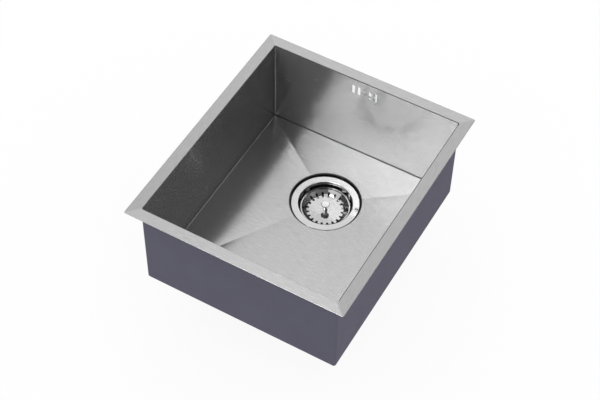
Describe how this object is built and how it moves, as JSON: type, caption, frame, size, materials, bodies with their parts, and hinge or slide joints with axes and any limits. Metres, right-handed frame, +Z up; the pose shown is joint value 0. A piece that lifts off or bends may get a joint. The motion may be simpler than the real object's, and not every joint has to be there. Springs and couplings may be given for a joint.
{
  "type": "kitchen sink",
  "caption": "Undermount kitchen sink: square folded steel bowl with a flat rim, creased floor, lift-out basket strainer waste and a slotted wall overflow piped to the waste.",
  "frame": {"origin": "middle of the rim's flat top face, level with the underside of the worktop", "axes": "+X to the right, +Y towards the overflow wall, +Z up out of the bowl"},
  "size_m": [0.38, 0.4488, 0.2716],
  "materials": {
    "satin_steel": "satin brushed stainless sheet",
    "sprayed_coat": "matt sprayed sound-deadening coat, grey-violet",
    "polished_steel": "polished stainless pressing",
    "basket_steel": "polished stainless pressing",
    "knob_steel": "turned and polished stainless",
    "screw_steel": "bright stainless screw",
    "insert_brass": "turned brass",
    "seal_rubber": "moulded black rubber",
    "pale_gasket": "pale closed-cell gasket foam",
    "white_plastic": "moulded white polypropylene",
    "clear_plastic": "moulded natural translucent polypropylene"
  },
  "bodies": {
    "sink": {"bowl": "satin_steel", "sound_coat": "sprayed_coat", "strainer_cup": "polished_steel", "flange_seal": "seal_rubber", "waste_gasket": "seal_rubber", "waste_body": "white_plastic", "waste_tail": "white_plastic", "centre_screw": "screw_steel", "centre_insert": "insert_brass", "overflow_box": "clear_plastic", "overflow_gasket": "pale_gasket", "overflow_screw": "screw_steel", "overflow_insert": "insert_brass", "overflow_pipe": "clear_plastic", "overflow_ring": "seal_rubber", "overflow_nut": "white_plastic", "cone_washer": "seal_rubber"},
    "stopper": {"stopper": "seal_rubber"},
    "basket": {"basket": "basket_steel", "knob": "knob_steel", "spacer": "white_plastic", "catch_clip": "screw_steel", "basket_screw": "screw_steel"}
  },
  "joints": [
    {"name": "basket_lift", "type": "slide", "parent": "sink", "child": "stopper", "axis": [0, 0, 1], "range_m": [0, 0.23]},
    {"name": "basket_turn", "type": "hinge", "parent": "stopper", "child": "basket", "pos_m": [0, 0.077, -0.2], "axis": [0, 0, 1], "continuous": true}
  ]
}
